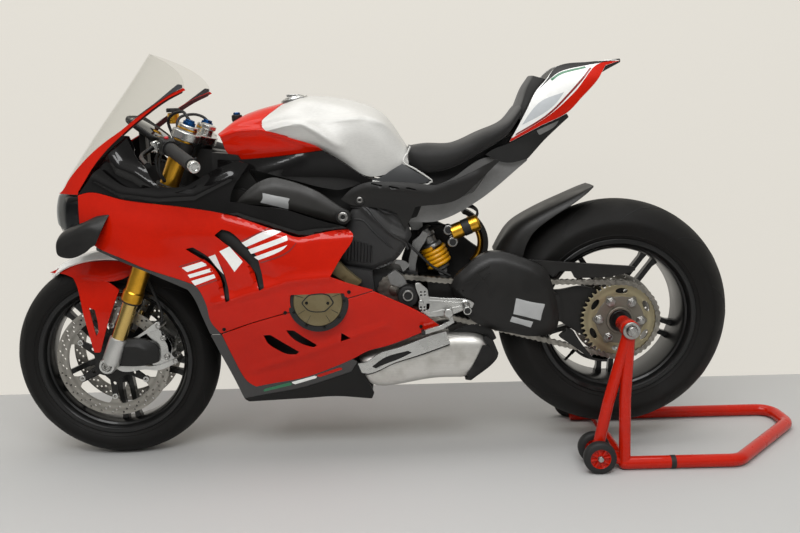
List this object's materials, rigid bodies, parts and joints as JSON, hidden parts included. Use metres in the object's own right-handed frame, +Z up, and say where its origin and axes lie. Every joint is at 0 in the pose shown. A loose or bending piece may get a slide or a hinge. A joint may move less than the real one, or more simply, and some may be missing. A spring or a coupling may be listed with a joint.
{
  "type": "sport bike on a paddock stand",
  "caption": "Full-fairing sport bike with steering fork, single-sided swingarm and clip-on bars, its rear held up by a single-sided paddock stand.",
  "frame": {"origin": "on the floor, at the middle of the overall box", "axes": "+X forward, +Y to the rider's left, +Z up"},
  "size_m": [2.3478, 0.6862, 1.1723],
  "materials": {
    "black_gloss": "gloss",
    "black_satin": "satin",
    "bronze_cover": "satin",
    "brushed_tank": "brushed",
    "cast_alloy": "satin",
    "clear_screen": "clear",
    "disc_steel": "ground",
    "display": "gloss",
    "engine_cast": "matte",
    "gold_anodised": "satin",
    "lamp_lens": "clear",
    "machined_alloy": "machined",
    "red_paint": "gloss",
    "seat_cover": "matte",
    "stand_red": "gloss",
    "steel": "satin",
    "titanium": "brushed",
    "tyre_rubber": "matte",
    "wheel_black": "satin",
    "wheel_rubber": "matte",
    "white_paint": "gloss"
  },
  "bodies": {
    "chassis": {"main_frame": "cast_alloy", "engine_block": "engine_cast", "engine_covers": "bronze_cover", "rear_head_cover": "black_satin", "radiator": "black_satin", "fuel_tank": "brushed_tank", "tank_cover": "red_paint", "fuel_cap": "black_satin", "seat": "seat_cover", "tail_fairing": "white_paint", "undertail": "black_satin", "subframe": "cast_alloy", "side_covers": "black_satin", "frame_covers": "cast_alloy", "duct_panels": "black_gloss", "upper_fairing_left": "red_paint", "upper_fairing_right": "red_paint", "lower_fairing_left": "red_paint", "lower_fairing_right": "red_paint", "belly_pan": "black_gloss", "nose_fairing": "red_paint", "headlight": "lamp_lens", "cockpit_panels": "black_gloss", "windscreen": "clear_screen", "winglets": "black_satin", "dashboard": "display", "swingarm": "black_satin", "chain_guard": "black_satin", "rear_hugger": "black_gloss", "shock_absorber": "machined_alloy", "silencers": "titanium", "rearsets": "machined_alloy", "drive_chain": "steel", "front_sprocket": "steel", "paddock_stand": "stand_red", "rear_caliper": "machined_alloy"},
    "steering": {"fork_clamps": "machined_alloy", "fork_tubes": "gold_anodised", "fork_feet": "cast_alloy", "front_axle": "steel", "handlebars": "black_satin", "brake_calipers": "machined_alloy", "front_fender": "red_paint"},
    "front_wheel": {"front_tyre": "tyre_rubber", "front_rim": "wheel_black", "front_discs": "disc_steel"},
    "rear_wheel": {"rear_tyre": "tyre_rubber", "rear_rim": "wheel_black", "rear_disc": "disc_steel", "rear_sprocket": "gold_anodised"},
    "stand_wheels_left": {"stand_wheels_left": "wheel_rubber"},
    "stand_wheel_right": {"stand_wheel_right": "wheel_rubber"}
  },
  "joints": [
    {"name": "steering_turn", "type": "hinge", "parent": "chassis", "child": "steering", "pos_m": [0.83793, 0, 0.3], "axis": [-0.3778, 0, 0.9259], "range_deg": [-26, 26]},
    {"name": "front_wheel_spin", "type": "hinge", "parent": "steering", "child": "front_wheel", "pos_m": [0.874, 0, 0.3], "axis": [0, 1, 0], "continuous": true},
    {"name": "rear_wheel_spin", "type": "hinge", "parent": "chassis", "child": "rear_wheel", "pos_m": [-0.595, 0, 0.3956], "axis": [0, 1, 0], "continuous": true},
    {"name": "stand_wheels_left_spin", "type": "hinge", "parent": "chassis", "child": "stand_wheels_left", "pos_m": [-0.509, 0.2, 0.045], "axis": [0, 1, 0], "continuous": true},
    {"name": "stand_wheel_right_spin", "type": "hinge", "parent": "chassis", "child": "stand_wheel_right", "pos_m": [-0.509, -0.18, 0.045], "axis": [0, 1, 0], "continuous": true}
  ]
}
